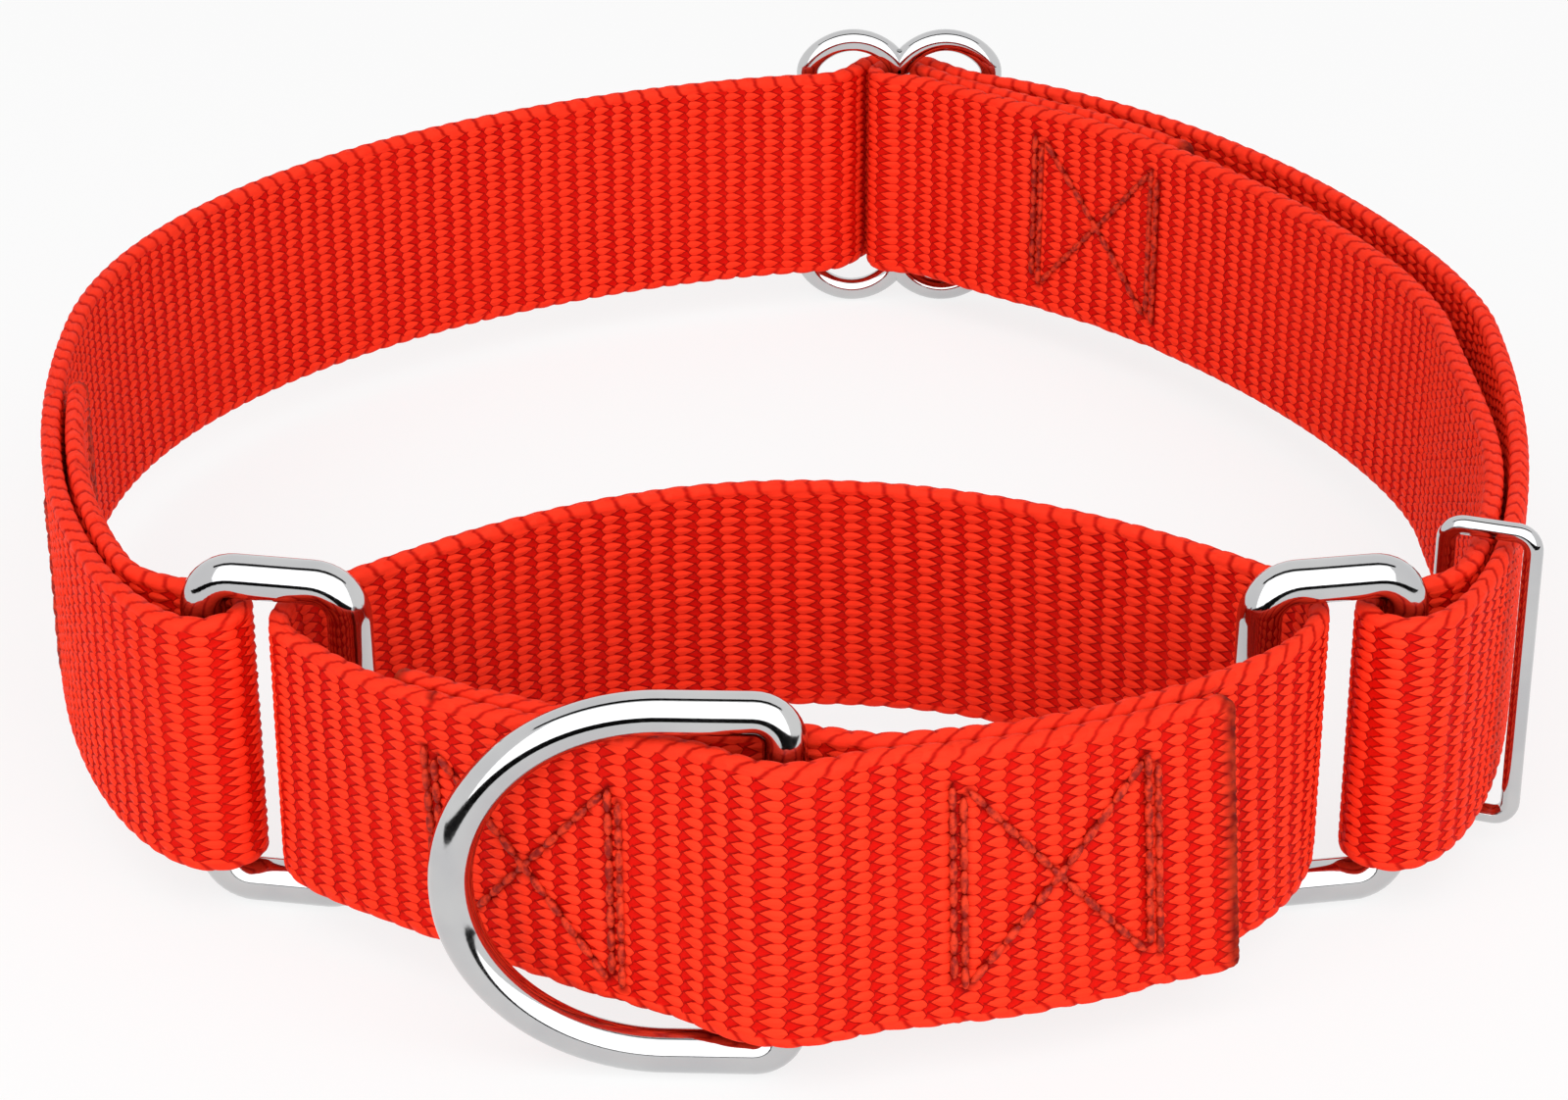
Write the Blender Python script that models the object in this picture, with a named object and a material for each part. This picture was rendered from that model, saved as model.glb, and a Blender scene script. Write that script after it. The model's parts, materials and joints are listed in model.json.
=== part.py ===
import math

import bmesh
import bpy
from mathutils import Vector
from mathutils.geometry import interpolate_bezier

MM = 0.001

# Webbing of both straps
WEBBING_WIDTH = 25.4 * MM
WEBBING_THICKNESS = 2.0 * MM
LAYER_GAP = 0.3 * MM

# Play between a folded strap and the bar inside the fold
WRAP_CLEARANCE = 0.5 * MM

# Neck strap, in plan: widest at y = 0, the slide at the back, the rings at the front
NECK_WIDTH = 146.5 * MM
BACK_REACH = 78.0 * MM
LEFT_BACK_PULL = 45.5 * MM
LEFT_SLIDE_PULL = 28.0 * MM
LEFT_SLIDE_RISE = math.radians(8.0)
RIGHT_BACK_PULL = 17.0 * MM
RIGHT_SLIDE_PULL = 36.5 * MM
RIGHT_SLIDE_FALL = math.radians(26.0)
FRONT_SIDE_PULL = 40.5 * MM
FRONT_RING_PULL = 7.0 * MM
FLEX_GAP = 0.4 * MM
INNER_LAYER_STEP = 4.7 * MM
LEFT_FOLD_END = 14.0 * MM
FOLD_MERGE = 16.0 * MM
LAYERS_MEET = 0.7
FOLD_BACK_LENGTH = 44.0 * MM
SLIDE_LEAD = 12.0 * MM
CREST_START = math.radians(150.0)
CREST_END = math.radians(80.0)
CREST_PULL = 0.55
BAR_PULL = 0.8
WRAP_START = math.radians(-90.0)
WRAP_END = math.radians(-255.0)

# Left and right rings, which fit the webbing's width closely
RING_WIRE = 4.0 * MM
RING_PITCH = 13.3 * MM
RING_CORNER = 3.2 * MM
RING_CLEARANCE = 0.6 * MM
RING_SPREAD = 105.5 * MM
RING_DROP = 62.5 * MM
RING_TILT = math.radians(10.0)
FRONT_OFFSET = 2.1 * MM

# Control loop, hung on the rings' inner bars: depths are measured from the line of the outer bars
LEFT_LOOP_RADIUS = 6.0 * MM
RIGHT_LOOP_RADIUS = 8.0 * MM
LEFT_LOOP_INSET = 1.4 * MM
RIGHT_LOOP_INSET = 2.6 * MM
LOOP_END_BACK = 2.0 * MM
LOOP_BACK_DEPTH = 26.1 * MM
LOOP_FRONT_DEPTH = 26.1 * MM
LEFT_FRONT_TURN = math.radians(40.5)
RIGHT_FRONT_TURN = math.radians(10.0)
LOOP_BACK_TURN = math.radians(50.0)
LEFT_FRONT_PULL = 5.4 * MM
RIGHT_FRONT_PULL = 24.2 * MM
LOOP_BACK_PULL = 21.0 * MM
LEFT_END_PULL = 14.5 * MM
RIGHT_END_PULL = 12.0 * MM
LOOP_INNER_TAIL = 36.0 * MM
LOOP_OUTER_TAIL = 38.4 * MM
TAIL_FREE = 7.0 * MM
TAIL_FLARE = 1.0 * MM

# The control loop flares: its lower edge stands out, and its upper edge in, by these amounts
FRONT_LEAN = 1.4 * MM
LEFT_LEAN = -0.8 * MM
BACK_LEAN = 1.7 * MM
LEAN_RISE = 0.35

# D-ring, its bar held between the control loop's two front layers
D_WIRE = 3.8 * MM
D_REACH = 29.8 * MM
D_STRAIGHT = 10.0 * MM
D_CORNER = 2.6 * MM
D_OFFSET = 0.4 * MM
D_REST = math.radians(178.5)
D_POCKET = 9.0 * MM
D_CLEARANCE = 0.4 * MM

# Slide: two side bars joined by double arches, with a centre bar between the arches' dips
SLIDE_WIRE = 2.6 * MM
SLIDE_PITCH = 11.0 * MM
SLIDE_OFFSET = 14.1 * MM
SLIDE_ARCH = 4.0 * MM
ARCH_FULLNESS = 0.52
SLIDE_CLEARANCE = 0.5 * MM
WELD_GAP = 0.3 * MM

# Keeper loop round both layers beside the right ring
KEEPER_WIRE = 1.8 * MM
KEEPER_CLEARANCE = 0.9 * MM
KEEPER_CORNER = 1.6 * MM
KEEPER_PLACE = 53.0 * MM

# Box seams: two bar tacks joined by a cross
THREAD = 0.6 * MM
THREAD_GAP = 0.2 * MM
SEAM_HEIGHT = 17.4 * MM
SEAM_LENGTH = 17.4 * MM
LEFT_SEAM_FROM_D_BAR = 10.6 * MM
LEFT_SEAM_DROP = 1.7 * MM
RIGHT_SEAM_FROM_D_BAR = 19.5 * MM
SEAM_FROM_SLIDE = 20.6 * MM
SEAM_OPENS = 6.0 * MM
SEAM_FROM_WIDEST = 17.0 * MM
TACK_STEP = 2.4 * MM
TACK_WIDTH = 1.6 * MM
CROSS_HUMP = 0.25

# Points along the curves
SIDE_STEPS = 28
BEND_STEPS = 14
SHORT_STEPS = 8
CORNER_STEPS = 6
ARCH_STEPS = 24
SEARCH_STEPS = 400
RING_SIDES = 2
THREAD_SIDES = 1
SAME_PLACE = 0.001 * MM
PIVOT_SIZE = 10.0 * MM

RED = (0.83, 0.03, 0.008, 1.0)
THREAD_RED = (0.55, 0.015, 0.006, 1.0)
NICKEL = (0.76, 0.75, 0.73, 1.0)

half_thickness = WEBBING_THICKNESS / 2
layer_pitch = WEBBING_THICKNESS + LAYER_GAP
hardware_stand = RING_WIRE + RING_CLEARANCE
hardware_half = WEBBING_WIDTH / 2 + hardware_stand
mid_height = hardware_half
quarter = math.pi / 2
neck_half = NECK_WIDTH / 2 - half_thickness
cross_lift = THREAD + THREAD_GAP
seam_room = 2 * (THREAD + THREAD_GAP) + THREAD_GAP


def clear_scene():
    for thing in list(bpy.data.objects):
        bpy.data.objects.remove(thing)


def finish_material(name, colour, metallic, roughness):
    made = bpy.data.materials.new(name)
    made.use_nodes = True
    shader = made.node_tree.nodes["Principled BSDF"]
    shader.inputs["Base Color"].default_value = colour
    shader.inputs["Metallic"].default_value = metallic
    shader.inputs["Roughness"].default_value = roughness
    made.diffuse_color = colour
    return made


def pivot(name, place, parent=None):
    empty = bpy.data.objects.new(name, None)
    empty.empty_display_size = PIVOT_SIZE
    collar.objects.link(empty)
    empty.parent = parent
    offset = world_place[parent] if parent else Vector((0, 0, 0))
    world_place[empty] = Vector(place)
    empty.location = Vector(place) - offset
    return empty


def add_node(name, shape, material, parent):
    shape.materials.append(material)
    node = bpy.data.objects.new(name, shape)
    collar.objects.link(node)
    node.parent = parent
    return node


# Plan paths are lists of 2D points
def bezier(start, start_pull, end, end_pull, steps):
    return interpolate_bezier(start, start + start_pull, end - end_pull, end, steps)


def join(*paths):
    joined = list(paths[0])
    for path in paths[1:]:
        joined += path[1:] if (path[0] - joined[-1]).length < SAME_PLACE else path
    return joined


def heading(angle):
    return Vector((math.cos(angle), math.sin(angle)))


def arc(centre, radius, start, end, steps):
    turn = (end - start) / (steps - 1)
    return [centre + radius * heading(start + turn * i) for i in range(steps)]


def left_of(way):
    return Vector((-way.y, way.x))


def ways(path):
    found = []
    for i in range(len(path)):
        ahead = path[min(i + 1, len(path) - 1)]
        behind = path[max(i - 1, 0)]
        found.append((ahead - behind).normalized())
    return found


def lengths(path):
    run = [0.0]
    for a, b in zip(path, path[1:]):
        run.append(run[-1] + (b - a).length)
    return run


def find_run(run, distance):
    """Step of a list of runs that holds a distance, and the share of that step."""
    for i in range(len(run) - 1):
        if distance <= run[i + 1] or i == len(run) - 2:
            return i, (distance - run[i]) / (run[i + 1] - run[i])


def at_length(path, distance):
    i, share = find_run(lengths(path), distance)
    way = ways(path)[i].lerp(ways(path)[i + 1], share).normalized()
    return path[i].lerp(path[i + 1], share), way


def run_beside(path, place):
    """Length along a path to its point nearest a place."""
    whole = lengths(path)[-1]
    runs = [whole * i / SEARCH_STEPS for i in range(SEARCH_STEPS)]
    return min(runs, key=lambda run: (at_length(path, run)[0] - place).length)


def part_of(path, start, end, steps):
    gap = (end - start) / (steps - 1)
    return [at_length(path, start + gap * i)[0] for i in range(steps)]


def shifted(path, distance):
    """Path moved to its left by a distance, or by a function of the length run."""
    amount = distance if callable(distance) else lambda run: distance
    moved = []
    for point, way, run in zip(path, ways(path), lengths(path)):
        moved.append(point + left_of(way) * amount(run))
    return moved


def smooth(share):
    share = min(max(share, 0.0), 1.0)
    return share * share * (3 - 2 * share)


def upright_lean(path):
    return [0.0] * len(path)


def webbing(name, path, parent, leans=None):
    """A strap standing on its edge along a plan path, its upper edge moved left by the lean."""
    leans = leans or upright_lean(path)
    strap = bmesh.new()
    rails = []
    for height in (-1, 1):
        for side in (1, -1):
            rail = []
            for point, way, lean in zip(path, ways(path), leans):
                flat = point + left_of(way) * (side * half_thickness + height * lean)
                place = Vector((*flat, mid_height + height * WEBBING_WIDTH / 2))
                rail.append(strap.verts.new(place - world_place[parent]))
            rails.append(rail)
    low_left, low_right, high_left, high_right = rails
    around = (low_left, high_left, high_right, low_right)
    for first, second in zip(around, around[1:] + around[:1]):
        for i in range(len(path) - 1):
            strap.faces.new((first[i], second[i], second[i + 1], first[i + 1]))
    for end in (0, -1):
        strap.faces.new([rail[end] for rail in around])
    bmesh.ops.recalc_face_normals(strap, faces=strap.faces)
    mesh = bpy.data.meshes.new(name)
    strap.to_mesh(mesh)
    strap.free()
    return add_node(name, mesh, webbing_red, parent)


def wire(name, places, thickness, parent, material, closed, sides=RING_SIDES):
    origin = world_place[parent]
    curve = bpy.data.curves.new(name, "CURVE")
    curve.dimensions = "3D"
    curve.bevel_depth = thickness / 2
    curve.bevel_resolution = sides
    curve.use_fill_caps = not closed
    spline = curve.splines.new("POLY")
    spline.points.add(len(places) - 1)
    for point, place in zip(spline.points, places):
        point.co = (*(place - origin), 1)
    spline.use_cyclic_u = closed
    return add_node(name, curve, material, parent)


def upright(centre, way, outline, rise=Vector((0, 0, 1))):
    """Places in a standing plane: each outline point is (distance along way, height)."""
    middle = Vector((*centre, mid_height))
    level = way.to_3d()
    level = (level - rise * level.dot(rise)).normalized()
    return [middle + level * along + rise * height for along, height in outline]


def rounded_frame(width, height, corner):
    outline = []
    for turn, (side, end) in enumerate(((1, 1), (-1, 1), (-1, -1), (1, -1))):
        centre = Vector((side * (width / 2 - corner), end * (height / 2 - corner)))
        outline += arc(centre, corner, turn * quarter, (turn + 1) * quarter, CORNER_STEPS)
    return outline


# Places that the pieces share
ring_heading = {}
outer_bar = {}
inner_bar = {}
for side in (-1, 1):
    ring_heading[side] = Vector((-side * math.cos(RING_TILT), -math.sin(RING_TILT)))
    outer_bar[side] = Vector((FRONT_OFFSET + side * RING_SPREAD / 2, -RING_DROP))
    inner_bar[side] = outer_bar[side] + ring_heading[side] * RING_PITCH

slide_bars = [Vector((SLIDE_OFFSET + i * SLIDE_PITCH, BACK_REACH)) for i in (-1, 0, 1)]
slide_seat = SLIDE_WIRE / 2 + SLIDE_CLEARANCE + half_thickness
fold_wrap = RING_WIRE / 2 + WRAP_CLEARANCE + half_thickness


def neck_end(side):
    """Outer layer from the widest point to the ring, and the fold round the ring's outer bar."""
    start = Vector((side * neck_half, -FLEX_GAP / 2))
    ahead = ring_heading[side]
    front = left_of(ahead) * side
    bar = outer_bar[side]
    first = bar + front * fold_wrap
    outer = bezier(start, Vector((0, -FRONT_SIDE_PULL)), first, ahead * FRONT_RING_PULL, SIDE_STEPS)
    fold = []
    for i in range(BEND_STEPS):
        turn = math.pi * i / (BEND_STEPS - 1)
        fold.append(bar + (front * math.cos(turn) + ahead * math.sin(turn)) * fold_wrap)
    return outer, fold


def folded_layer(side, outer, fold, step_at_widest, end):
    """Layer that runs back from the fold along the inside of the outer layer."""
    whole = lengths(outer)[-1]
    reach = whole - FOLD_MERGE

    def step(run):
        closed = smooth(run / (reach * LAYERS_MEET))
        return -side * (step_at_widest + (layer_pitch - step_at_widest) * closed)

    beside = shifted(outer, step)
    run_back = part_of(beside, min(reach, lengths(beside)[-1]), end, SIDE_STEPS)
    meet, way = run_back[0], (run_back[1] - run_back[0]).normalized()
    pull = FRONT_RING_PULL / 2
    blend_in = bezier(fold[-1], -ring_heading[side] * pull, meet, way * pull, SHORT_STEPS)
    return join(blend_in, run_back)


def neck_back():
    """Single strap from the left, through the slide, and on as the right side's outer layer."""
    first, centre, last = slide_bars
    rise = heading(LEFT_SLIDE_RISE)
    fall = heading(-RIGHT_SLIDE_FALL)
    start = Vector((-neck_half, FLEX_GAP / 2))
    seat = first - left_of(rise) * slide_seat
    left = bezier(start, Vector((0, LEFT_BACK_PULL)), seat, rise * LEFT_SLIDE_PULL, SIDE_STEPS)
    over = slide_seat + layer_pitch
    crest = arc(centre, over, CREST_START, CREST_END, SHORT_STEPS)
    up = heading(CREST_START - quarter) * over * CREST_PULL
    climb = bezier(seat, rise * over * BAR_PULL, crest[0], up, SHORT_STEPS)
    under = last - left_of(fall) * slide_seat
    down = heading(CREST_END - quarter) * over * CREST_PULL
    drop = bezier(crest[-1], down, under, fall * over * BAR_PULL, SHORT_STEPS)
    end = Vector((neck_half, FLEX_GAP / 2))
    right = bezier(under, fall * RIGHT_SLIDE_PULL, end, Vector((0, -RIGHT_BACK_PULL)), SIDE_STEPS)
    past_crest = join(drop, right)
    return join(left, climb, crest, past_crest), past_crest


def neck_inner_run(past_crest):
    """Inner layer from the right side to the slide, round the centre bar and back between the layers."""
    whole = lengths(past_crest)[-1]

    def opened(run):
        return seam_room * smooth((run - SEAM_OPENS) / (SEAM_FROM_SLIDE - SEAM_OPENS))

    def inner_step(run):
        near = 2 * layer_pitch + opened(run)
        past_fold = (run - FOLD_BACK_LENGTH) / (whole - FOLD_BACK_LENGTH)
        return -(near + (INNER_LAYER_STEP - near) * smooth(past_fold))

    between = shifted(past_crest, lambda run: -(layer_pitch + opened(run)))
    tail = part_of(between, slide_seat, FOLD_BACK_LENGTH, SIDE_STEPS)
    inner = shifted(past_crest, inner_step)
    arrive = part_of(inner, SLIDE_LEAD, lengths(inner)[-1], 2 * SIDE_STEPS)[::-1]
    wrap = arc(slide_bars[1], slide_seat, WRAP_START, WRAP_END, BEND_STEPS)
    way_in = (arrive[-1] - arrive[-2]).normalized() * slide_seat
    way_out = (tail[1] - tail[0]).normalized() * slide_seat / 2
    wrap_in = heading(WRAP_START - quarter) * slide_seat
    wrap_out = heading(WRAP_END - quarter) * slide_seat / 2
    to_bar = bezier(arrive[-1], way_in, wrap[0], wrap_in, CORNER_STEPS)
    from_bar = bezier(wrap[-1], wrap_out, tail[0], way_out, CORNER_STEPS)
    return join(arrive, to_bar, wrap, from_bar, tail), arrive[::-1], tail


def lens():
    """Closed middle line of the control loop, from the front middle round to the right."""
    left_centre = inner_bar[-1] + Vector((LEFT_LOOP_INSET, LOOP_END_BACK))
    right_centre = inner_bar[1] + Vector((-RIGHT_LOOP_INSET, LOOP_END_BACK))
    front = Vector((D_OFFSET, -RING_DROP - LOOP_FRONT_DEPTH))
    back = Vector((FRONT_OFFSET, -RING_DROP + LOOP_BACK_DEPTH))
    along = Vector((1, 0))
    right_end = arc(right_centre, RIGHT_LOOP_RADIUS, -RIGHT_FRONT_TURN, LOOP_BACK_TURN, BEND_STEPS)
    left_first = math.pi - LOOP_BACK_TURN
    left_end = arc(left_centre, LEFT_LOOP_RADIUS, left_first, math.pi + LEFT_FRONT_TURN, BEND_STEPS)
    rise = heading(quarter - RIGHT_FRONT_TURN) * RIGHT_END_PULL
    front_right = bezier(front, along * RIGHT_FRONT_PULL, right_end[0], rise, SIDE_STEPS)
    leave = heading(quarter + LOOP_BACK_TURN) * RIGHT_END_PULL
    back_right = bezier(right_end[-1], leave, back, -along * LOOP_BACK_PULL, SIDE_STEPS)
    arrive = heading(3 * quarter - LOOP_BACK_TURN) * LEFT_END_PULL
    back_left = bezier(back, -along * LOOP_BACK_PULL, left_end[0], arrive, SIDE_STEPS)
    fall = heading(3 * quarter + LEFT_FRONT_TURN) * LEFT_END_PULL
    front_left = bezier(left_end[-1], fall, front, along * LEFT_FRONT_PULL, SIDE_STEPS)
    return front_right, right_end, join(back_right, back_left), left_end, front_left


def control_path():
    """Spiral of the control strap: inner layer, right end, back, left end, outer layer."""
    front_right, right_end, back, left_end, front_left = lens()
    whole_left = lengths(front_left)[-1]
    inner = part_of(front_left, whole_left - LOOP_INNER_TAIL, whole_left, SIDE_STEPS)
    outer = part_of(front_right, 0, LOOP_OUTER_TAIL, SIDE_STEPS)
    base = join(inner, front_right, right_end, back, left_end, front_left, outer)
    run = lengths(base)
    whole = run[-1]
    left_start = lengths(join(inner, front_right, right_end, back))[-1]
    left_stop = left_start + lengths(left_end)[-1]
    bar_inner = LOOP_INNER_TAIL
    bar_outer = whole - LOOP_OUTER_TAIL
    pocket = (D_WIRE + 2 * D_CLEARANCE - LAYER_GAP) / 2

    def bulge(distance):
        share = min(abs(distance) / D_POCKET, 1.0)
        return pocket * math.cos(share * quarter) ** 2

    def outward(distance):
        layer = layer_pitch * smooth((distance - left_start) / (left_stop - left_start))
        flare = TAIL_FLARE * smooth((distance - whole + TAIL_FREE) / TAIL_FREE)
        return -(layer + flare + bulge(distance - bar_outer) - bulge(distance - bar_inner))

    right_start = lengths(join(inner, front_right))[-1]
    right_stop = right_start + lengths(right_end)[-1]
    lean_rise = LEAN_RISE * (left_start - right_stop)
    stations = [
        (0, LEFT_LEAN),
        (bar_inner, FRONT_LEAN),
        (bar_inner + LOOP_OUTER_TAIL, FRONT_LEAN),
        (right_start, 0),
        (right_stop, 0),
        (right_stop + lean_rise, BACK_LEAN),
        (left_start - lean_rise, BACK_LEAN),
        (left_start, 0),
        (left_stop, 0),
        (bar_outer - LOOP_INNER_TAIL, LEFT_LEAN),
        (bar_outer, FRONT_LEAN),
        (whole, FRONT_LEAN),
    ]

    def lean(distance):
        i, share = find_run([station for station, amount in stations], distance)
        before, after = stations[i][1], stations[i + 1][1]
        return before + (after - before) * smooth(share)

    bar = front_left[-1] - Vector((0, layer_pitch / 2))
    return shifted(base, outward), [lean(distance) for distance in run], bar, bar_inner, bar_outer


def d_outline():
    """D shape in its own plane: the bar at 0, the bow reaching out."""
    top = hardware_half - D_WIRE / 2
    bow_reach = D_REACH - D_WIRE / 2 - D_STRAIGHT
    upper = arc(Vector((D_CORNER, top - D_CORNER)), D_CORNER, math.pi, quarter, CORNER_STEPS)
    bow = []
    for i in range(ARCH_STEPS + 1):
        turn = quarter - math.pi * i / ARCH_STEPS
        bow.append(Vector((D_STRAIGHT + bow_reach * math.cos(turn), top * math.sin(turn))))
    lower = [Vector((point.x, -point.y)) for point in reversed(upper)]
    return upper + bow + lower


def slide_outline():
    """Slide frame in its own plane: straight side bars and double-arched ends."""
    shoulder = hardware_half - SLIDE_WIRE / 2 - SLIDE_ARCH
    top = []
    for i in range(ARCH_STEPS + 1):
        along = -SLIDE_PITCH + 2 * SLIDE_PITCH * i / ARCH_STEPS
        rise = abs(math.sin(math.pi * along / SLIDE_PITCH)) ** ARCH_FULLNESS
        top.append(Vector((along, shoulder + SLIDE_ARCH * rise)))
    return top + [Vector((point.x, -point.y)) for point in reversed(top)], shoulder


def box_seam(name, path, start, lift, parent, leans=None, drop=0.0):
    """Thread of one box seam on one face: two bar tacks and the cross between them."""
    half_height = SEAM_HEIGHT / 2
    leans = leans or upright_lean(path)

    def place(run, level, rise):
        height = level - drop
        point, way = at_length(path, run)
        i, share = find_run(lengths(path), run)
        lean = leans[i] + (leans[i + 1] - leans[i]) * share
        out = lift + math.copysign(rise, lift) + lean * height / (WEBBING_WIDTH / 2)
        side = left_of(way) * out
        return Vector((point.x + side.x, point.y + side.y, mid_height + height))

    def tack(middle):
        count = int(SEAM_HEIGHT / TACK_STEP)
        pitch = SEAM_HEIGHT / count
        points = []
        for i in range(count + 1):
            swing = TACK_WIDTH / 2 * (1 if i % 2 else -1)
            points.append(place(middle + swing, -half_height + pitch * i, 0))
        return points

    def cross(start_run, end_run, rise):
        points = []
        for i in range(1, SHORT_STEPS):
            share = i / SHORT_STEPS
            hump = rise * max(0.0, 1 - abs(share - 0.5) / CROSS_HUMP)
            run = start_run + (end_run - start_run) * share
            points.append(place(run, half_height * (1 - 2 * share), hump))
        return points

    end = start + SEAM_LENGTH
    inset = TACK_WIDTH / 2 + THREAD * 2
    thread = tack(start) + cross(start + inset, end - inset, 0.0) + tack(end)
    thread += cross(end - inset, start + inset, cross_lift)
    wire(name, thread, THREAD, parent, thread_red, closed=False, sides=THREAD_SIDES)


clear_scene()
collar = bpy.data.collections.new("martingale_collar")
bpy.context.scene.collection.children.link(collar)
world_place = {}

webbing_red = finish_material("webbing_red", RED, 0.0, 0.6)
thread_red = finish_material("thread_red", THREAD_RED, 0.0, 0.7)
nickel = finish_material("nickel_plate", NICKEL, 1.0, 0.12)

back_path, crest_path = neck_back()
inner_path, arrive_path, tail_path = neck_inner_run(crest_path)
loop_path, loop_leans, d_bar, bar_inner, bar_outer = control_path()
left_outer, left_fold = neck_end(-1)
right_outer, right_fold = neck_end(1)
left_return = folded_layer(-1, left_outer, left_fold, layer_pitch, LEFT_FOLD_END)
right_return = folded_layer(1, right_outer, right_fold, INNER_LAYER_STEP, 0.0)

neck = pivot("neck", (0, 0, 0))
left_arm = pivot("left_arm", (-neck_half + half_thickness, 0, 0), neck)
right_arm = pivot("right_arm", (neck_half - INNER_LAYER_STEP - half_thickness, 0, 0), neck)
left_swivel = pivot("left_swivel", (*outer_bar[-1], mid_height), left_arm)
right_swivel = pivot("right_swivel", (*outer_bar[1], mid_height), right_arm)
loop_slide = pivot("loop_slide", (*d_bar, mid_height), neck)
d_swing = pivot("d_swing", (*d_bar, mid_height), loop_slide)
slide_pivot = pivot("slide_pivot", (*slide_bars[1], mid_height), neck)

webbing("neck_strap_back", back_path, neck)
webbing("neck_strap_inner_run", inner_path, neck)
webbing("neck_strap_left_end", join(left_outer, left_fold, left_return), left_arm)
webbing("neck_strap_right_end", join(right_outer, right_fold, right_return), right_arm)
webbing("control_loop_strap", loop_path, loop_slide, loop_leans)

ring_outline = rounded_frame(RING_PITCH, 2 * hardware_half - RING_WIRE, RING_CORNER)
for side, swivel, name in ((-1, left_swivel, "left_ring"), (1, right_swivel, "right_ring")):
    ring_middle = outer_bar[side] + ring_heading[side] * RING_PITCH / 2
    ring_places = upright(ring_middle, ring_heading[side], ring_outline)
    wire(name, ring_places, RING_WIRE, swivel, nickel, closed=True)

d_rise = Vector((0, FRONT_LEAN, WEBBING_WIDTH / 2)).normalized()
d_places = upright(d_bar, heading(D_REST), d_outline(), d_rise)
wire("d_ring", d_places, D_WIRE, d_swing, nickel, closed=True)

slide_shape, slide_shoulder = slide_outline()
slide_way = Vector((1, 0))
frame_places = upright(slide_bars[1], slide_way, slide_shape)
wire("slide_frame", frame_places, SLIDE_WIRE, slide_pivot, nickel, closed=True)
bar_half = slide_shoulder - SLIDE_WIRE / 2 - WELD_GAP
bar_places = upright(slide_bars[1], slide_way, [Vector((0, bar_half)), Vector((0, -bar_half))])
wire("slide_centre_bar", bar_places, SLIDE_WIRE, slide_pivot, nickel, closed=False)

keeper_outer, keeper_way = at_length(right_outer, KEEPER_PLACE)
keeper_across = -left_of(keeper_way)
keeper_middle = keeper_outer + keeper_across * layer_pitch / 2
keeper_width = layer_pitch + WEBBING_THICKNESS + 2 * KEEPER_CLEARANCE + KEEPER_WIRE
keeper_height = WEBBING_WIDTH + 2 * KEEPER_CLEARANCE + KEEPER_WIRE
keeper_outline = rounded_frame(keeper_width, keeper_height, KEEPER_CORNER)
keeper_pivot = pivot("keeper_pivot", (*keeper_middle, mid_height), right_arm)
keeper_places = upright(keeper_middle, keeper_across, keeper_outline)
wire("keeper", keeper_places, KEEPER_WIRE, keeper_pivot, nickel, closed=True)

# The needle thread lies on the outer face of each seam, the bobbin thread on the inner face
face = half_thickness + THREAD_GAP + THREAD / 2
left_box = LEFT_SEAM_FROM_D_BAR + SEAM_LENGTH
right_box = RIGHT_SEAM_FROM_D_BAR
sewn = (loop_slide, loop_leans, LEFT_SEAM_DROP)
box_seam("left_box_needle_thread", loop_path, bar_outer - left_box, -face, *sewn)
box_seam("left_box_bobbin_thread", loop_path, bar_inner - left_box, face, *sewn)
box_seam("right_box_needle_thread", loop_path, bar_outer + right_box, -face, loop_slide, loop_leans)
box_seam("right_box_bobbin_thread", loop_path, bar_inner + right_box, face, loop_slide, loop_leans)
box_seam("left_end_needle_thread", left_outer, SEAM_FROM_WIDEST, -face, left_arm)
left_inside = left_return[::-1]
left_seam = run_beside(left_inside, at_length(left_outer, SEAM_FROM_WIDEST)[0])
box_seam("left_end_bobbin_thread", left_inside, left_seam, face, left_arm)
slide_seam = run_beside(arrive_path, at_length(tail_path, SEAM_FROM_SLIDE)[0])
box_seam("slide_end_needle_thread", arrive_path, slide_seam, -face, neck)
box_seam("slide_end_bobbin_thread", tail_path, SEAM_FROM_SLIDE, face, neck)

# The frame's origin is under the middle of the whole collar
bpy.context.view_layer.update()
corners = []
for node in collar.objects:
    if node.type != "EMPTY":
        corners += [node.matrix_world @ Vector(corner) for corner in node.bound_box]
for axis in (0, 1):
    ends = [corner[axis] for corner in corners]
    neck.location[axis] = -(min(ends) + max(ends)) / 2
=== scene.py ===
import json
import math

import bmesh
import bpy
import numpy as np
from mathutils import Matrix, Vector


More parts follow.
